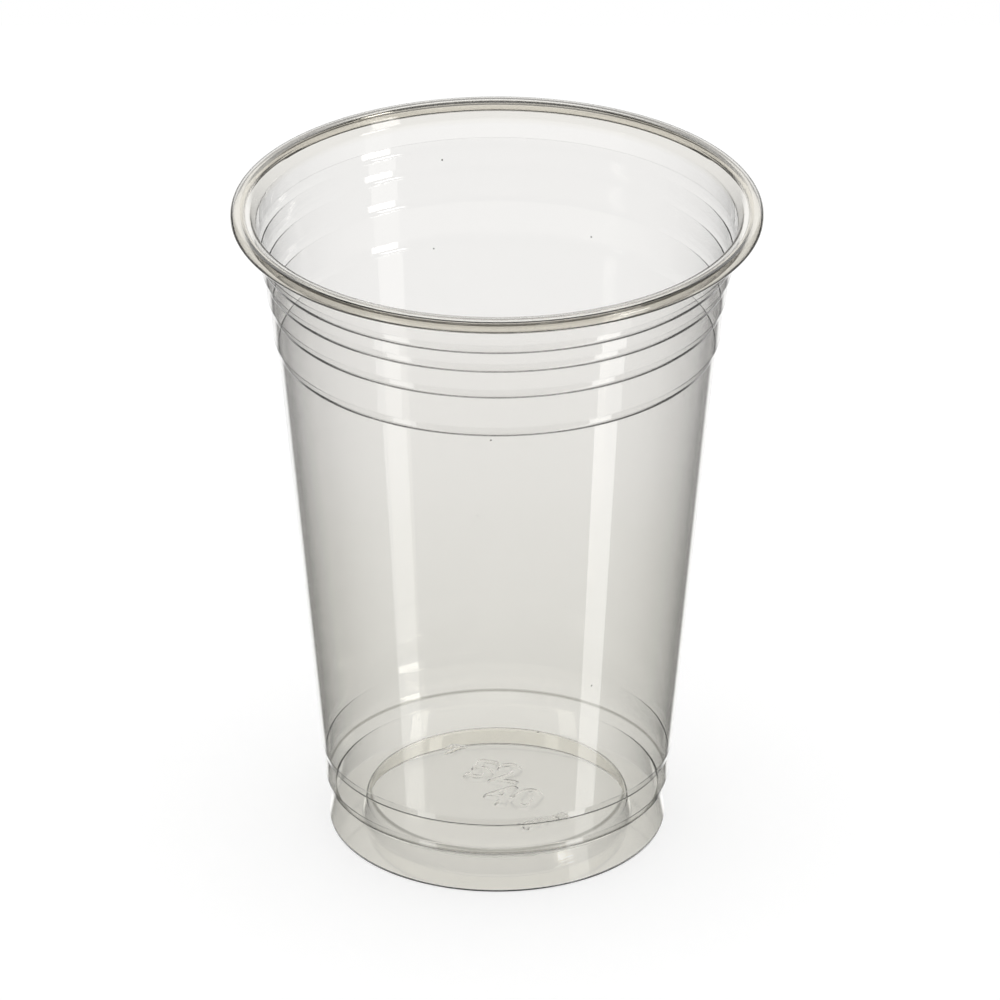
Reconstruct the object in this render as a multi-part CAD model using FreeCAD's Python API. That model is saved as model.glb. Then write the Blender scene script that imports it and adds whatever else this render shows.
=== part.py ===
"""Clear plastic disposable drinking cup, thermoformed from one sheet.

The cup is a single skin of even thickness that turns about the Z axis. Its
section is a chain of straight runs. It starts on the axis as the raised
floor disc, drops to the standing ring, climbs the foot, the stacking groove
and the tall tapered body, steps out at each ledge below the mouth, and ends
in the lip that is rolled over outwards and tucked back under itself.

Sizes are in millimetres. The origin is at the centre of the standing ring,
with +Z up towards the mouth. Radii and heights are to the outside of the skin.
"""
import FreeCAD, Part
import math
import os

# Whole cup
CUP_HEIGHT = 123.0
LIP_RADIUS = 47.5
WALL = 0.3

# Floor disc, raised clear of the table, and the ring that the cup stands on
FLOOR_RADIUS = 23.6
FLOOR_LIFT = 4.7
RING_INNER_RADIUS = 24.4

# Foot below the stacking groove
FOOT_RADIUS = 30.8
GROOVE_RADIUS = 29.7
GROOVE_HEIGHT = 6.8

# Band between the groove and the body
BAND_RADIUS = 31.45
BAND_HEIGHT = 8.3

# Tapered body
BODY_RADIUS = 31.88
BODY_HEIGHT = 13.6
BODY_TOP_RADIUS = 39.36

# Ledges below the mouth, lowest first: height of each, and the radius above it
LEDGE_RISE = 0.3
LEDGE_HEIGHTS = (97.5, 105.45, 111.0, 115.1)
LEDGE_RADII = (39.86, 40.93, 41.9, 42.85)
LEDGE_BAND_FLARE = 0.07
NECK_HEIGHT = 119.4

# Rolled lip
LIP_WIDTH = 3.4
ROLL_RADIUS = 1.33
BEND_STEP = 45.0

# Runs up to this long are drawn as splines
LONGEST_SHORT_RUN = 10.0


def base_path():
    """Return the corners from the floor's centre up to the foot of the body."""
    return [
        (0.0, FLOOR_LIFT, 0.0),
        (FLOOR_RADIUS, FLOOR_LIFT, 0.0),
        (RING_INNER_RADIUS, 0.0, 0.0),
        (FOOT_RADIUS, 0.0, 0.0),
        (GROOVE_RADIUS, GROOVE_HEIGHT, 0.0),
        (BAND_RADIUS, BAND_HEIGHT, 0.0),
        (BODY_RADIUS, BODY_HEIGHT, 0.0),
    ]


def ledge_path():
    """Return the corners of the ledges, two for each, and of the neck above."""
    path = []
    below = BODY_TOP_RADIUS
    tops = LEDGE_HEIGHTS[1:] + (NECK_HEIGHT,)
    for height, radius, top in zip(LEDGE_HEIGHTS, LEDGE_RADII, tops):
        path.append((below, height - LEDGE_RISE, 0.0))
        path.append((radius, height, 0.0))
        below = radius + (top - height) * LEDGE_BAND_FLARE
    path.append((below, NECK_HEIGHT, 0.0))
    return path


def lip_path():
    """Return the corners of the lip, from the mouth round to its tucked end.

    The skin's outside faces into the roll here, so the roll's own size is
    taken in by one wall.
    """
    mouth = LIP_RADIUS - LIP_WIDTH + WALL
    outside = LIP_RADIUS - WALL
    top = CUP_HEIGHT - WALL
    under = CUP_HEIGHT - 2 * ROLL_RADIUS + WALL
    return [
        (mouth, top, LIP_WIDTH - ROLL_RADIUS - WALL),
        (outside, top, ROLL_RADIUS - WALL),
        (outside, under, ROLL_RADIUS - WALL),
        (LIP_RADIUS - ROLL_RADIUS, under, 0.0),
    ]


def rounded(path):
    """Return the path's points, with each bend worked out in equal short turns.

    A corner's third value is how far before and after the corner its bend reaches.
    """
    points = [FreeCAD.Vector(radius, 0, height) for radius, height, reach in path]
    result = [points[0]]
    for before, point, after, corner in zip(points, points[1:], points[2:], path[1:]):
        reach = corner[2]
        if reach == 0.0:
            result.append(point)
            continue
        run_in = (point - before).normalize()
        run_out = (after - point).normalize()
        turn = run_in.getAngle(run_out)
        bend = reach / math.tan(turn / 2)
        start = point - run_in * reach
        to_centre = (run_out - run_in * math.cos(turn)) / math.sin(turn)
        steps = max(1, round(math.degrees(turn) / BEND_STEP))
        for step in range(steps + 1):
            angle = turn * step / steps
            along = run_in * (bend * math.sin(angle))
            across = to_centre * (bend - bend * math.cos(angle))
            result.append(start + along + across)
    result.append(points[-1])
    return merged(result)


def merged(points):
    """Return the points without those that lie on the one before."""
    kept = points[:1]
    for point in points[1:]:
        if not point.isEqual(kept[-1], WALL / 100):
            kept.append(point)
    return kept


def other_face(points):
    """Return the points moved by one wall to the left, towards the cup's inside."""
    runs = [(end - start).normalize() for start, end in zip(points, points[1:])]
    lefts = [FreeCAD.Vector(-run.z, 0, run.x) for run in runs]
    moved = [points[0] + lefts[0] * WALL]
    for point, before, after in zip(points[1:], lefts, lefts[1:]):
        mitre = before + after
        moved.append(point + mitre * (2 * WALL / mitre.Length ** 2))
    moved.append(points[-1] + lefts[-1] * WALL)
    return moved


def outline_edges(points):
    """Return the edges of a closed outline.

    The flat runs and the long ones up the body turn into plain discs and cones.
    The short slanted ones are splines of the first degree, which turn into
    surfaces that need a single row of facets.
    """
    edges = []
    for start, end in zip(points, points[1:] + points[:1]):
        run = Part.LineSegment(start, end)
        slanted = abs(start.z - end.z) > WALL / 100
        if slanted and run.length() < LONGEST_SHORT_RUN:
            run = run.toBSpline()
        edges.append(run.toShape())
    return edges


def cup():
    """Return the whole cup as one solid of revolution."""
    outer = rounded(base_path() + ledge_path() + lip_path())
    inner = other_face(outer)
    section = Part.Face(Part.Wire(outline_edges(outer + inner[::-1])))
    return section.revolve(FreeCAD.Vector(0, 0, 0), FreeCAD.Vector(0, 0, 1), 360)


os.makedirs("parts", exist_ok=True)
cup_solid = cup()
cup_solid.exportStep("parts/cup.step")
print("cup volume in cubic millimetres:", round(cup_solid.Volume, 1))
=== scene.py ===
"""Looks of a clear plastic cold-drink cup, thermoformed from one thin sheet.

The cup is one glossy skin, about a third of a millimetre thick, with a rolled
lip, four ledges below the mouth, a stacking groove above the foot and a raised
floor with small moulded numbers. It stands on a pale floor in soft, even light.
"""

import logging
import math
from dataclasses import dataclass, field
from enum import Enum
from typing import Any

import bpy
from mathutils import Matrix, Vector
from mathutils.bvhtree import BVHTree

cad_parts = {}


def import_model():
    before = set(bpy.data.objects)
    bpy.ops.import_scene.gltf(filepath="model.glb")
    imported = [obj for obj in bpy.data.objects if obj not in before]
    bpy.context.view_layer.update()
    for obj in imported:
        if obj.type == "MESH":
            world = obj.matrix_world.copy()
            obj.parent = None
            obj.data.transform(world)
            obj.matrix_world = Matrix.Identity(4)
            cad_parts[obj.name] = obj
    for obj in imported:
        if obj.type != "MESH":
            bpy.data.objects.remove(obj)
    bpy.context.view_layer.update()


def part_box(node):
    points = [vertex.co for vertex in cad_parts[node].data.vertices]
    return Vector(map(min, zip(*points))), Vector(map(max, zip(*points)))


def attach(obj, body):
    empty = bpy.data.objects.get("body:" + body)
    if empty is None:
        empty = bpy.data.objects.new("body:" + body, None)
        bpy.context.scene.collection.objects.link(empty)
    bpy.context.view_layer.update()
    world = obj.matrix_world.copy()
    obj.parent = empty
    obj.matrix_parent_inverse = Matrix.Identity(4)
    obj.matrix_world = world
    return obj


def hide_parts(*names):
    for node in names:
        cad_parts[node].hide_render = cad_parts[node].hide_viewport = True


logging.basicConfig(level=logging.INFO, format="%(name)s: %(message)s")
LOG = logging.getLogger("cup")

MM = 0.001
PHOTO_PIXELS = 1000
LIGHT_BOUNCES = 18
MIRROR_BOUNCES = 8


class Role(Enum):
    """What a bend in the section does, which sets how finely it is rounded."""

    FLAT = 0
    CREASE = 3
    EDGE = 4
    SOFT = 6
    ROLL = 9


@dataclass(frozen=True)
class Corner:
    """One corner of the cup's section.

    Args:
        radius: distance from the axis to the outside of the skin, in mm.
        height: height above the table, in mm.
        bend: radius of the rounding there, in mm.
        role: how finely the rounding is divided.
    """

    radius: float
    height: float
    bend: float = 0.0
    role: Role = Role.FLAT


def linear(code: str) -> tuple[float, float, float, float]:
    """Turn an sRGB hex colour into linear RGBA.

    Args:
        code: the colour as "#rrggbb".

    Returns:
        The colour as Blender's sockets take it.
    """
    channels = [int(code[i : i + 2], 16) / 255 for i in (1, 3, 5)]
    curve = [c / 12.92 if c <= 0.04045 else ((c + 0.055) / 1.055) ** 2.4 for c in channels]
    return (*curve, 1.0)


def add_node(tree: bpy.types.NodeTree, kind: str, settings: dict[str, Any] | None = None,
             inputs: dict[Any, Any] | None = None) -> bpy.types.Node:
    """Add a node with its settings and inputs.

    Args:
        tree: the node tree that it joins.
        kind: the node's type name.
        settings: attributes to set on the node.
        inputs: socket name or number to a value, or to the output socket to link.

    Returns:
        The new node.
    """
    node = tree.nodes.new(kind)
    for name, value in (settings or {}).items():
        setattr(node, name, value)
    for name, value in (inputs or {}).items():
        if isinstance(value, bpy.types.NodeSocket):
            tree.links.new(value, node.inputs[name])
        else:
            node.inputs[name].default_value = value
    return node


def clean_tree(owner: Any) -> bpy.types.NodeTree:
    """Give a material or world an empty node tree.

    Args:
        owner: the material or world.

    Returns:
        Its node tree, with no nodes.
    """
    owner.use_nodes = True
    owner.node_tree.nodes.clear()
    return owner.node_tree


def select_only(piece: bpy.types.Object) -> None:
    """Select one object and make it active.

    Args:
        piece: the object.
    """
    for other in bpy.context.selected_objects:
        other.select_set(False)
    piece.select_set(True)
    bpy.context.view_layer.objects.active = piece


@dataclass(frozen=True)
class ClearPet:
    """Clear PET sheet, vacuum formed: glossy, faintly warm, barely wavy.

    The sheet was polished by its casting rolls, so both faces stay mirror smooth.
    It is palest at the foot and darker low on the walls, a painted shade there.
    A dark painted shade lies around two creases, each a radius, a height and a reach.
    """

    foot_tint: str = "#fefdf9"
    # Partly the plastic's warm tint, partly painted shade: it darkens the walls low down.
    low_tint_and_shade: str = "#f2f1ed"
    wall_tint: str = "#faf9f7"
    lip_tint: str = "#f5f3ee"
    # Painted shade: the dark grey laid on the plastic around the creases.
    crease_painted_shade: str = "#b2b0a8"
    fleck_colour: str = "#3a3a34"
    refraction: float = 1.57
    roughness: float = 0.0
    foot_zone: tuple[float, float] = (6 * MM, 12 * MM)
    wall_zone: tuple[float, float] = (45 * MM, 85 * MM)
    lip_zone: tuple[float, float] = (119 * MM, 120.5 * MM)
    # Where the painted shade around the creases lies: radius, height and reach.
    shaded_creases: tuple[tuple[float, float, float], ...] = (
        (31.0 * MM, 8.45 * MM, 0.5 * MM), (23.1 * MM, 4.5 * MM, 0.5 * MM))
    fleck_spacing: float = 9 * MM
    fleck_radius: float = 0.2 * MM
    wave_length: float = 26 * MM
    wave_depth: float = 0.006 * MM

    def make(self) -> bpy.types.Material:
        """Make the material.

        Returns:
            The finished material.
        """
        material = bpy.data.materials.new("clear_pet")
        tree = clean_tree(material)
        place = add_node(tree, "ShaderNodeTexCoord").outputs["Object"]
        colour = add_node(tree, "ShaderNodeMix", {"data_type": "RGBA"}, {
            0: self.flecks(tree, place), 6: self.tint(tree, place), 7: linear(self.fleck_colour)})
        waves = add_node(tree, "ShaderNodeTexNoise", inputs={
            "Vector": place, "Scale": 1 / self.wave_length, "Detail": 1.0})
        bump = add_node(tree, "ShaderNodeBump", inputs={
            "Strength": 1.0, "Distance": self.wave_depth, "Height": waves.outputs[0]})
        body = add_node(tree, "ShaderNodeBsdfPrincipled", inputs={
            "Base Color": colour.outputs[2], "IOR": self.refraction,
            "Roughness": self.roughness, "Transmission Weight": 1.0,
            "Normal": bump.outputs[0]})
        add_node(tree, "ShaderNodeOutputMaterial", inputs={"Surface": body.outputs[0]})
        return material

    def tint(self, tree: bpy.types.NodeTree, place: bpy.types.NodeSocket) -> bpy.types.NodeSocket:
        """Tint the plastic by its height, with painted shade low on the walls and around two creases.

        Args:
            tree: the material's node tree.
            place: the point on the cup, in metres.

        Returns:
            The tint, with the painted shade in it.
        """
        height = add_node(tree, "ShaderNodeSeparateXYZ", inputs={0: place}).outputs["Z"]
        tint = linear(self.foot_tint)
        # The low zone's darker tint is painted shade on the lower walls.
        zones = ((self.foot_zone, self.low_tint_and_shade), (self.wall_zone, self.wall_tint),
                 (self.lip_zone, self.lip_tint))
        for (start, end), above in zones:
            share = add_node(tree, "ShaderNodeMapRange", inputs={
                "Value": height, "From Min": start, "From Max": end})
            tint = add_node(tree, "ShaderNodeMix", {"data_type": "RGBA"}, {
                0: share.outputs[0], 6: tint, 7: linear(above)}).outputs[2]
        section = self.section(tree, place, height)
        # Painted shade: darken the plastic towards the crease_painted_shade grey near each crease.
        for radius, crease_height, reach in self.shaded_creases:
            gap = add_node(tree, "ShaderNodeVectorMath", {"operation": "DISTANCE"}, {
                0: section, 1: (radius, 0.0, crease_height)})
            near = add_node(tree, "ShaderNodeMapRange", {"interpolation_type": "SMOOTHSTEP"}, {
                "Value": gap.outputs["Value"], "From Max": reach, "To Min": 1.0, "To Max": 0.0})
            tint = add_node(tree, "ShaderNodeMix", {"data_type": "RGBA"}, {
                0: near.outputs[0], 6: tint, 7: linear(self.crease_painted_shade)}).outputs[2]
        return tint

    def section(self, tree: bpy.types.NodeTree, place: bpy.types.NodeSocket,
                height: bpy.types.NodeSocket) -> bpy.types.NodeSocket:
        """Turn a point on the cup into its place on the section.

        Args:
            tree: the material's node tree.
            place: the point on the cup, in metres.
            height: the point's height, in metres.

        Returns:
            The distance from the axis as X, and the height as Z.
        """
        flat = add_node(tree, "ShaderNodeVectorMath", {"operation": "MULTIPLY"}, {
            0: place, 1: (1.0, 1.0, 0.0)})
        radius = add_node(tree, "ShaderNodeVectorMath", {"operation": "LENGTH"}, {0: flat.outputs[0]})
        point = add_node(tree, "ShaderNodeCombineXYZ", inputs={
            0: radius.outputs["Value"], 2: height})
        return point.outputs[0]

    def flecks(self, tree: bpy.types.NodeTree, place: bpy.types.NodeSocket) -> bpy.types.NodeSocket:
        """Scatter a few tiny dark flecks, of different sizes.

        Args:
            tree: the material's node tree.
            place: the point on the cup, in metres.

        Returns:
            One inside a fleck, and zero elsewhere.
        """
        cells = add_node(tree, "ShaderNodeTexVoronoi", {"voronoi_dimensions": "3D"}, {
            "Vector": place, "Scale": 1 / self.fleck_spacing})
        chance = add_node(tree, "ShaderNodeSeparateColor", inputs={0: cells.outputs["Color"]})
        limit = add_node(tree, "ShaderNodeMath", {"operation": "MULTIPLY"}, {
            0: chance.outputs[0], 1: self.fleck_radius / self.fleck_spacing})
        inside = add_node(tree, "ShaderNodeMath", {"operation": "LESS_THAN"}, {
            0: cells.outputs["Distance"], 1: limit.outputs[0]})
        return inside.outputs[0]


@dataclass(frozen=True)
class MouldedMark:
    """A plain number moulded into the floor.

    Args:
        text: the digits.
        size: height of a line of digits, in mm.
        place: centre of the mark on the floor, in mm.
        turn: how far it is turned from reading towards +X, in degrees.
    """

    text: str
    size: float
    place: tuple[float, float]
    turn: float


@dataclass
class Cup:
    """The whole cup, as one skin turned about the Z axis. Sizes in mm.

    Each ledge is the radius below it and its height. The step under a ledge starts
    below that height, and a sloped shoulder leads from the step to an upright band.
    """

    height: float
    lip_radius: float
    wall: float = 0.3
    lip_wall: float = 0.42
    ledge_places: tuple[tuple[float, float], ...] = (
        (39.36, 97.5), (40.4, 105.45), (41.42, 111.0), (42.36, 115.1))
    step_drop: float = 0.55
    step_width: float = 0.42
    step_bend: float = 1.7
    step_foot_bend: float = 0.2
    edge_drop: float = 0.1
    shoulder_width: float = 0.74
    shoulder_rise: float = 1.35
    shoulder_bend: float = 0.4
    neck_radius: float = 43.2
    neck_height: float = 120.4
    neck_bend: float = 0.8
    neck_rise: float = 1.2
    lip_width: float = 3.4
    roll_radius: float = 1.33
    tuck_gap: float = 0.15
    tuck_reach: float = 0.5
    tuck_bend: float = 0.4
    smooth_angle: float = 40.0
    face_weight: int = 100
    merge_gap: float = 0.001
    turns: int = 216
    floor_radius: float = 23.6
    floor_lift: float = 4.7
    floor_pitch: float = 0.26
    marked_radius: float = 19.0
    mark_height: float = 0.4
    mark_edge: float = 0.7
    marks: tuple[MouldedMark, ...] = (
        MouldedMark("52", 10.0, (-0.5, 5.0), -18.0),
        MouldedMark("40", 10.0, (3.0, -4.5), -18.0),
        MouldedMark("7", 4.0, (-8.0, 13.7), -20.0),
        MouldedMark("1 2 3 4 5", 2.8, (8.3, -13.5), 28.0),
    )
    finish: ClearPet = field(default_factory=ClearPet)

    def base(self) -> list[Corner]:
        """Return the corners of the floor, the ring, the foot and the band."""
        return [
            Corner(self.floor_radius, self.floor_lift, 1.4, Role.EDGE),
            Corner(24.4, 0.0, 0.8, Role.CREASE),
            Corner(30.85, 0.0, 0.55, Role.EDGE),
            Corner(29.65, 6.8, 0.35, Role.CREASE),
            Corner(31.15, 8.2, 0.35, Role.EDGE),
            Corner(31.48, 9.65, 0.4, Role.CREASE),
            Corner(31.54, 14.15, 0.2, Role.CREASE),
            Corner(31.74, 14.45, 0.5, Role.EDGE),
            Corner(32.07, 15.9, 0.4, Role.CREASE),
        ]

    def ledges(self) -> list[Corner]:
        """Return the corners of the four ledges and the neck above them."""
        corners: list[Corner] = []
        for below, height in self.ledge_places:
            edge = below + self.step_width
            shoulder = below + self.shoulder_width
            top = height + self.shoulder_rise
            corners.append(
                Corner(below, height - self.step_drop, self.step_foot_bend, Role.CREASE))
            corners.append(Corner(edge, height - self.edge_drop, self.step_bend, Role.SOFT))
            corners.append(Corner(shoulder, top, self.shoulder_bend, Role.CREASE))
        corners.append(Corner(self.neck_radius, self.neck_height, self.neck_bend, Role.CREASE))
        return corners

    def lip(self) -> list[Corner]:
        """Return the corners of the lip, which rolls outwards and tucks under."""
        mouth = self.lip_radius - self.lip_width + self.lip_wall
        outside = self.lip_radius - self.lip_wall
        inside = self.lip_radius - 2 * self.roll_radius + self.lip_wall
        top = self.height - self.lip_wall
        under = self.height - 2 * self.roll_radius + self.lip_wall
        tuck = top - self.lip_wall - self.tuck_gap
        bend = self.roll_radius - self.lip_wall
        return [
            Corner(mouth, top, self.lip_width - self.roll_radius - self.lip_wall, Role.ROLL),
            Corner(outside, top, bend, Role.ROLL),
            Corner(outside, under, bend, Role.ROLL),
            Corner(inside, under, bend, Role.ROLL),
            Corner(inside, tuck, self.tuck_bend, Role.EDGE),
            Corner(inside + self.tuck_reach, tuck),
        ]

    def build(self) -> bpy.types.Object:
        """Build the cup, tie it to the frame and give it its plastic.

        Returns:
            The finished cup.
        """
        corners = self.base() + self.ledges() + self.lip()
        cup = self.trace_section(corners)
        self.round_section(corners)
        self.turn_section()
        self.press_marks(cup)
        self.thicken(cup)
        cup.data.materials.clear()
        cup.data.materials.append(self.finish.make())
        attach(cup, "root")
        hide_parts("cup")
        LOG.info("%s: %d faces", cup.name, len(cup.data.polygons))
        return cup

    def trace_section(self, corners: list[Corner]) -> bpy.types.Object:
        """Draw the section as a chain of edges, from the axis to the tucked lip.

        Args:
            corners: the section's corners, after the floor's centre.

        Returns:
            The new object, left in edit mode.
        """
        bpy.ops.object.select_all(action="DESELECT")
        bpy.ops.mesh.primitive_plane_add(size=MM, location=(0, 0, 0))
        cup = bpy.context.active_object
        cup.name = cup.data.name = "cup_shell"
        bpy.ops.object.mode_set(mode="EDIT")
        bpy.ops.mesh.merge(type="CENTER")
        bpy.ops.transform.translate(value=(0, 0, self.floor_lift * MM))
        here = Vector((0, 0, self.floor_lift))
        rings = math.floor(self.marked_radius / self.floor_pitch)
        stops = [Vector((self.floor_pitch * (i + 1), 0, self.floor_lift)) for i in range(rings)]
        stops += [Vector((corner.radius, 0, corner.height)) for corner in corners]
        for stop in stops:
            bpy.ops.mesh.extrude_region_move(
                TRANSFORM_OT_translate={"value": (stop - here) * MM})
            here = stop
        return cup

    def round_section(self, corners: list[Corner]) -> None:
        """Round every corner of the section but the last, which is its free end.

        Args:
            corners: the section's corners, after the floor's centre.
        """
        points = [Vector((0, 0, self.floor_lift))]
        points += [Vector((corner.radius, 0, corner.height)) for corner in corners]
        for index, corner in enumerate(corners[:-1], start=1):
            run_in = points[index] - points[index - 1]
            run_out = points[index + 1] - points[index]
            turn = run_in.angle(run_out)
            self.pick_point(points[index] * MM)
            bpy.ops.mesh.bevel(
                offset_type="OFFSET", offset=corner.bend * math.tan(turn / 2) * MM,
                segments=corner.role.value, profile=0.5, affect="VERTICES",
                clamp_overlap=False)

    def pick_point(self, place: Vector) -> None:
        """Select the one vertex at a place, in edit mode.

        Args:
            place: the vertex's place, in metres.
        """
        bpy.ops.mesh.select_mode(type="VERT")
        bpy.ops.mesh.select_all(action="DESELECT")
        bpy.ops.object.mode_set(mode="OBJECT")
        mesh = bpy.context.active_object.data
        nearest = min(mesh.vertices, key=lambda vertex: (vertex.co - place).length)
        nearest.select = True
        bpy.ops.object.mode_set(mode="EDIT")

    def turn_section(self) -> None:
        """Spin the section into a skin and leave edit mode."""
        bpy.ops.mesh.select_all(action="SELECT")
        bpy.ops.mesh.remove_doubles(threshold=self.merge_gap * MM)
        bpy.ops.mesh.spin(
            steps=self.turns, angle=math.tau, center=(0, 0, 0), axis=(0, 0, 1))
        bpy.ops.mesh.select_all(action="SELECT")
        bpy.ops.mesh.remove_doubles(threshold=self.merge_gap * MM)
        bpy.ops.mesh.normals_make_consistent(inside=False)
        bpy.ops.object.mode_set(mode="OBJECT")
        wall = max(bpy.context.active_object.data.polygons, key=lambda face: face.area)
        outwards = Vector((wall.center.x, wall.center.y, 0))
        if wall.normal.dot(outwards) < 0:
            bpy.ops.object.mode_set(mode="EDIT")
            bpy.ops.mesh.flip_normals()
            bpy.ops.object.mode_set(mode="OBJECT")

    def press_marks(self, cup: bpy.types.Object) -> None:
        """Raise the plain numbers on the floor, before the skin gets its thickness.

        Args:
            cup: the cup's skin.
        """
        trees = [self.mark_tree(mark) for mark in self.marks]
        for vertex in cup.data.vertices:
            flat = Vector((vertex.co.x, vertex.co.y, 0)) / MM
            if flat.length > self.marked_radius:
                continue
            gap = min(tree.find_nearest(flat)[3] for tree in trees)
            share = max(0.0, 1 - gap / self.mark_edge)
            vertex.co.z += self.mark_height * share * share * (3 - 2 * share) * MM

    def mark_tree(self, mark: MouldedMark) -> BVHTree:
        """Make one number's flat face, for finding how far a point lies from it.

        Args:
            mark: the number.

        Returns:
            A search tree of the face, in mm.
        """
        bpy.ops.object.text_add(location=(0, 0, 0))
        text = bpy.context.active_object
        text.data.body = mark.text
        text.data.size = mark.size
        text.data.align_x = "CENTER"
        text.data.align_y = "CENTER"
        bpy.ops.object.convert(target="MESH")
        place = Matrix.Translation((*mark.place, 0))
        text.data.transform(place @ Matrix.Rotation(math.radians(mark.turn), 4, "Z"))
        points = [vertex.co.copy() for vertex in text.data.vertices]
        faces = [tuple(face.vertices) for face in text.data.polygons]
        bpy.data.objects.remove(text)
        return BVHTree.FromPolygons(points, faces)

    def thicken(self, cup: bpy.types.Object) -> None:
        """Give the skin its thickness towards the drink, and smooth its shading.

        Args:
            cup: the cup's skin.
        """
        select_only(cup)
        thick = cup.vertex_groups.new(name="lip")
        for vertex in cup.data.vertices:
            rise = (vertex.co.z / MM - self.neck_height) / self.neck_rise
            thick.add([vertex.index], min(max(rise, 0.0), 1.0), "REPLACE")
        skin = cup.modifiers.new("wall", "SOLIDIFY")
        skin.thickness = self.lip_wall * MM
        skin.vertex_group = thick.name
        skin.thickness_vertex_group = self.wall / self.lip_wall
        skin.offset = -1.0
        skin.use_even_offset = True
        bpy.ops.object.modifier_apply(modifier=skin.name)
        bpy.ops.object.shade_smooth_by_angle(angle=math.radians(self.smooth_angle))
        even = cup.modifiers.new("even_shading", "WEIGHTED_NORMAL")
        even.mode = "FACE_AREA"
        even.weight = self.face_weight
        even.keep_sharp = True
        bpy.ops.object.modifier_apply(modifier=even.name)


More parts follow.
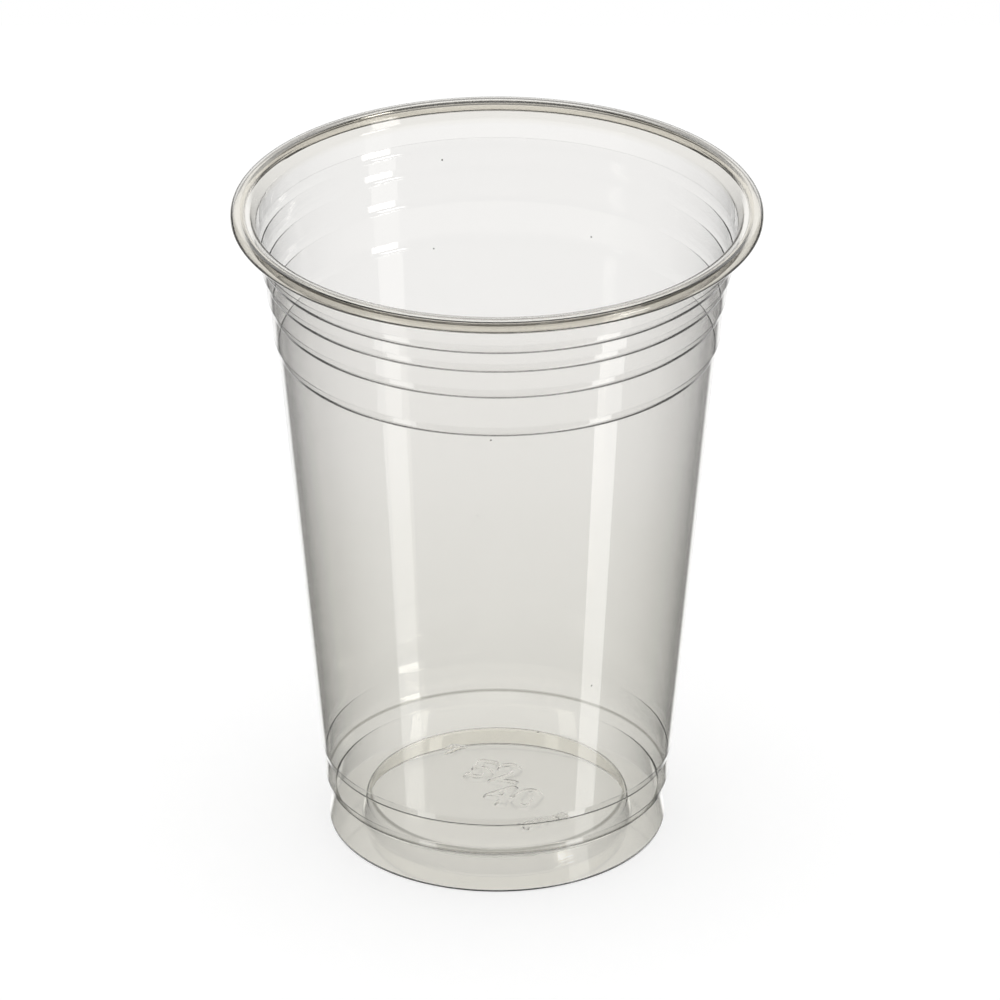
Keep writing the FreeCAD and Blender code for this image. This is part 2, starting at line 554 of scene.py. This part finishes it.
@dataclass
class Studio:
    """The pale floor, the light and the camera.

    The backdrop is white where it is seen straight on. What the plastic mirrors or
    bends aside is a darker room: a bright table in front, a window on the right,
    pale strips on both sides, a white cove behind and light from overhead. Sides
    are angles in degrees from straight in front, towards the right. A rise is the
    sine of the angle above level. The table's and the cove's sides are shares of
    the way round from front to back. A soft value is how wide a light's edges are.
    """

    floor_half: float = 0.35
    floor_drop: float = 0.05 * MM
    floor_colour: str = "#bcbcbc"
    floor_glow: float = 0.56
    dark_side: float = 0.03
    table_light: float = 0.65
    table_stops: tuple[tuple[float, float], ...] = (
        (0.0, 1.0), (0.3, 1.0), (0.5, 0.4), (0.6, 0.15), (0.86, 0.12), (0.9, 1.6))
    table_far: tuple[float, float, float] = (-0.4, -0.28, 0.2)
    table_near: tuple[float, float, float] = (-0.8, -0.65, 0.15)
    table_edge: tuple[float, float] = (-0.03, 0.03)
    strip_side: tuple[float, float] = (44.9, 59.5)
    strip_lean: float = 18.0
    strip_light: tuple[float, float, float] = (1.9, 0.75, 0.9)
    strip_low: tuple[float, float] = (-0.6, -0.45)
    strip_far: tuple[float, float] = (-0.44, -0.32)
    strip_end: tuple[float, float] = (-0.1, 0.0)
    strip_soft: float = 0.01
    left_side: tuple[float, float] = (-66.0, -51.0)
    left_end: tuple[float, float] = (-0.54, -0.47)
    left_light: float = 1.3
    left_soft: float = 0.02
    window_side: tuple[float, float] = (51.0, 65.5)
    window_rise: tuple[float, float] = (-0.17, 0.12)
    lamp_rise: tuple[float, float] = (0.45, 0.62)
    window_light: float = 4.5
    window_soft: float = 0.03
    cove_side: tuple[float, float] = (0.8, 0.88)
    cove_rise: tuple[float, float] = (-0.03, 0.75)
    cove_soft: float = 0.06
    overhead_rise: tuple[float, float] = (0.86, 0.94)
    camera_distance: float = 1700 * MM
    camera_pitch: float = 27.32
    camera_aim: float = 60 * MM
    camera_lens: float = 338.05
    camera_sensor: float = 36.0
    camera_clip: tuple[float, float] = (0.05, 20.0)
    photo_centre: tuple[float, float] = (496.98, 520.43)

    def build(self) -> None:
        """Make the floor, the surroundings and the camera."""
        self.make_floor()
        self.make_world()
        self.make_camera()

    def maths(self, tree: bpy.types.NodeTree, kind: str, first: Any,
              second: Any) -> bpy.types.NodeSocket:
        """Join two values with one sum.

        Args:
            tree: the node tree.
            kind: the sum's name, such as "MULTIPLY".
            first: a value, or the output socket that gives it.
            second: the other value or socket.

        Returns:
            The result.
        """
        return add_node(tree, "ShaderNodeMath", {"operation": kind}, {0: first, 1: second}).outputs[0]

    def fade(self, tree: bpy.types.NodeTree, value: bpy.types.NodeSocket, start: float, end: float,
             low: float = 0.0, high: float = 1.0) -> bpy.types.NodeSocket:
        """Fade softly from one level to another as a value grows.

        Args:
            tree: the node tree.
            value: the value that the fade follows.
            start: where the fade starts.
            end: where the fade ends.
            low: the level before the start.
            high: the level after the end.

        Returns:
            The level.
        """
        node = add_node(tree, "ShaderNodeMapRange", {"interpolation_type": "SMOOTHSTEP"}, {
            "Value": value, "From Min": start, "From Max": end, "To Min": low, "To Max": high})
        return node.outputs[0]

    def between(self, tree: bpy.types.NodeTree, value: bpy.types.NodeSocket, low: float, high: float,
                soft: float) -> bpy.types.NodeSocket:
        """Return one between two limits and zero outside them, with soft edges.

        Args:
            tree: the node tree.
            value: the value that is tested.
            low: the lower limit.
            high: the upper limit.
            soft: how wide each edge is.

        Returns:
            The share.
        """
        rise = self.fade(tree, value, low - soft / 2, low + soft / 2)
        fall = self.fade(tree, value, high - soft / 2, high + soft / 2, 1.0, 0.0)
        return self.maths(tree, "MULTIPLY", rise, fall)

    def make_floor(self) -> None:
        """Lay a pale matt floor with a faint shadow, which mirrored rays pass."""
        bpy.ops.object.select_all(action="DESELECT")
        bpy.ops.mesh.primitive_plane_add(size=2 * self.floor_half, location=(0, 0, -self.floor_drop))
        floor = bpy.context.active_object
        floor.name = "floor"
        material = bpy.data.materials.new("pale_floor")
        tree = clean_tree(material)
        path = add_node(tree, "ShaderNodeLightPath")
        straight = self.maths(
            tree, "MAXIMUM", path.outputs["Is Camera Ray"], path.outputs["Is Transmission Ray"])
        glow = self.maths(tree, "MULTIPLY", straight, self.floor_glow)
        matt = add_node(tree, "ShaderNodeBsdfDiffuse", inputs={"Color": linear(self.floor_colour)})
        lamp = add_node(tree, "ShaderNodeEmission", inputs={
            "Color": linear("#ffffff"), "Strength": glow})
        both = add_node(tree, "ShaderNodeAddShader", inputs={0: matt.outputs[0], 1: lamp.outputs[0]})
        clear = add_node(tree, "ShaderNodeBsdfTransparent")
        mirrored = self.maths(tree, "GREATER_THAN", path.outputs["Glossy Depth"], 0.5)
        face = add_node(tree, "ShaderNodeMixShader", inputs={
            0: mirrored, 1: both.outputs[0], 2: clear.outputs[0]})
        add_node(tree, "ShaderNodeOutputMaterial", inputs={"Surface": face.outputs[0]})
        floor.data.materials.append(material)

    def make_world(self) -> None:
        """Make the white light of the backdrop, and the room in the plastic."""
        world = bpy.data.worlds.new("studio")
        bpy.context.scene.world = world
        tree = clean_tree(world)
        path = add_node(tree, "ShaderNodeLightPath")
        bends = self.maths(
            tree, "ADD", path.outputs["Glossy Depth"], path.outputs["Transmission Depth"])
        bent = self.maths(tree, "GREATER_THAN", bends, 0.5)
        clean = self.maths(tree, "LESS_THAN", path.outputs["Diffuse Depth"], 0.5)
        in_plastic = self.maths(tree, "MULTIPLY", bent, clean)
        level = add_node(tree, "ShaderNodeMix", {"data_type": "FLOAT"}, {
            0: in_plastic, 2: 1.0, 3: self.room(tree)})
        light = add_node(tree, "ShaderNodeBackground", inputs={
            "Color": linear("#ffffff"), "Strength": level.outputs[0]})
        add_node(tree, "ShaderNodeOutputWorld", inputs={"Surface": light.outputs[0]})

    def room(self, tree: bpy.types.NodeTree) -> bpy.types.NodeSocket:
        """Describe the room by direction, as the brightest of its lights.

        Args:
            tree: the world's node tree.

        Returns:
            The light from each direction.
        """
        way = add_node(tree, "ShaderNodeTexCoord").outputs["Generated"]
        parts = add_node(tree, "ShaderNodeSeparateXYZ", inputs={0: way})
        rise = parts.outputs["Z"]
        front = self.maths(tree, "MULTIPLY", parts.outputs["Y"], -1.0)
        turn = self.maths(tree, "ARCTAN2", parts.outputs["X"], front)
        away = add_node(tree, "ShaderNodeMath", {"operation": "ABSOLUTE"}, {0: turn})
        share = self.maths(tree, "DIVIDE", away.outputs[0], math.pi)
        lights = (
            self.table(tree, share, rise), self.right_strip(tree, turn, rise),
            self.left_strip(tree, turn, rise), self.cove(tree, share, rise),
            self.window(tree, turn, rise), self.fade(tree, rise, *self.overhead_rise))
        level: Any = self.dark_side
        for light in lights:
            level = self.maths(tree, "MAXIMUM", light, level)
        return level

    def table(self, tree: bpy.types.NodeTree, share: bpy.types.NodeSocket,
              rise: bpy.types.NodeSocket) -> bpy.types.NodeSocket:
        """Light the table top, brightest in front and straight behind.

        Args:
            tree: the world's node tree.
            share: how far round from front to back.
            rise: the sine of the angle above level.

        Returns:
            The table's light.
        """
        sides = add_node(tree, "ShaderNodeValToRGB", inputs={0: share})
        self.set_ramp(sides, self.table_stops)
        far_start, far_end, far_level = self.table_far
        near_start, near_end, near_level = self.table_near
        far = self.fade(tree, rise, far_start, far_end, 1.0, far_level)
        near = self.fade(tree, rise, near_start, near_end, near_level, 1.0)
        depth = self.maths(
            tree, "MULTIPLY", self.maths(tree, "MULTIPLY", far, near), self.table_light)
        top = self.maths(tree, "MULTIPLY", sides.outputs["Color"], depth)
        return self.maths(tree, "MULTIPLY", top, self.fade(tree, rise, *self.table_edge, 1.0, 0.0))

    def right_strip(self, tree: bpy.types.NodeTree, turn: bpy.types.NodeSocket,
                    rise: bpy.types.NodeSocket) -> bpy.types.NodeSocket:
        """Light the leaning strip on the right, which runs down the near and far walls.

        Args:
            tree: the world's node tree.
            turn: the angle from straight in front, in radians.
            rise: the sine of the angle above level.

        Returns:
            The strip's light.
        """
        lean = self.maths(tree, "MULTIPLY", rise, math.radians(self.strip_lean))
        left, right = (math.radians(side) for side in self.strip_side)
        leaning = self.maths(tree, "ADD", turn, lean)
        place = self.between(tree, leaning, left, right, self.strip_soft)
        low_level, middle_level, far_level = self.strip_light
        level = self.maths(
            tree, "MAXIMUM", self.fade(tree, rise, *self.strip_low, low_level, middle_level),
            self.fade(tree, rise, *self.strip_far, 0.0, far_level))
        end = self.fade(tree, rise, *self.strip_end, 1.0, 0.0)
        return self.maths(tree, "MULTIPLY", self.maths(tree, "MULTIPLY", place, level), end)

    def left_strip(self, tree: bpy.types.NodeTree, turn: bpy.types.NodeSocket,
                   rise: bpy.types.NodeSocket) -> bpy.types.NodeSocket:
        """Light the low strip on the left, which only the near wall mirrors.

        Args:
            tree: the world's node tree.
            turn: the angle from straight in front, in radians.
            rise: the sine of the angle above level.

        Returns:
            The strip's light.
        """
        left, right = (math.radians(side) for side in self.left_side)
        place = self.between(tree, turn, left, right, self.left_soft)
        level = self.fade(tree, rise, *self.left_end, self.left_light, 0.0)
        return self.maths(tree, "MULTIPLY", place, level)

    def window(self, tree: bpy.types.NodeTree, turn: bpy.types.NodeSocket,
               rise: bpy.types.NodeSocket) -> bpy.types.NodeSocket:
        """Light the window on the right and the lamp above it.

        Args:
            tree: the world's node tree.
            turn: the angle from straight in front, in radians.
            rise: the sine of the angle above level.

        Returns:
            The light of both.
        """
        left, right = (math.radians(side) for side in self.window_side)
        place = self.between(tree, turn, left, right, self.window_soft)
        panes = self.maths(
            tree, "ADD", self.between(tree, rise, *self.window_rise, self.window_soft),
            self.between(tree, rise, *self.lamp_rise, self.window_soft))
        return self.maths(
            tree, "MULTIPLY", self.maths(tree, "MULTIPLY", place, panes), self.window_light)

    def cove(self, tree: bpy.types.NodeTree, share: bpy.types.NodeSocket,
             rise: bpy.types.NodeSocket) -> bpy.types.NodeSocket:
        """Light the white cove behind the cup.

        Args:
            tree: the world's node tree.
            share: how far round from front to back.
            rise: the sine of the angle above level.

        Returns:
            The cove's light.
        """
        behind = self.fade(tree, share, *self.cove_side)
        upright = self.between(tree, rise, *self.cove_rise, self.cove_soft)
        return self.maths(tree, "MULTIPLY", behind, upright)

    def set_ramp(self, node: bpy.types.Node, stops: tuple[tuple[float, float], ...]) -> None:
        """Set a colour ramp to grey stops.

        Args:
            node: the ramp's node.
            stops: each stop's place along the ramp and its brightness.
        """
        ramp = node.color_ramp
        while len(ramp.elements) < len(stops):
            ramp.elements.new(1.0)
        for element, (place, grey) in zip(ramp.elements, stops):
            element.position = place
            element.color = (grey, grey, grey, 1.0)

    def make_camera(self) -> None:
        """Set the camera at the photograph's angle, distance and framing."""
        centre_x, centre_y = self.photo_centre
        pitch = math.radians(self.camera_pitch)
        data = bpy.data.cameras.new("camera")
        data.sensor_width = self.camera_sensor
        data.lens = self.camera_lens
        data.clip_start, data.clip_end = self.camera_clip
        data.shift_x = (PHOTO_PIXELS / 2 - centre_x) / PHOTO_PIXELS
        data.shift_y = (centre_y - PHOTO_PIXELS / 2) / PHOTO_PIXELS
        camera = bpy.data.objects.new("camera", data)
        bpy.context.scene.collection.objects.link(camera)
        back = Vector((0, -math.cos(pitch), math.sin(pitch)))
        camera.location = Vector((0, 0, self.camera_aim)) + back * self.camera_distance
        camera.rotation_euler = (math.pi / 2 - pitch, 0.0, 0.0)
        bpy.context.scene.camera = camera


def set_look() -> None:
    """Set the view transform and let light pass through all the clear walls."""
    scene = bpy.context.scene
    scene.view_settings.view_transform = "Standard"
    scene.cycles.max_bounces = LIGHT_BOUNCES
    scene.cycles.transmission_bounces = LIGHT_BOUNCES
    scene.cycles.glossy_bounces = MIRROR_BOUNCES


def main() -> None:
    """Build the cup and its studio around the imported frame."""
    low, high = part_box("cup")
    cup = Cup(height=high.z / MM, lip_radius=(high.x - low.x) / 2 / MM)
    cup.build()
    Studio().build()
    set_look()


if __name__ == "__main__":
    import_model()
    main()
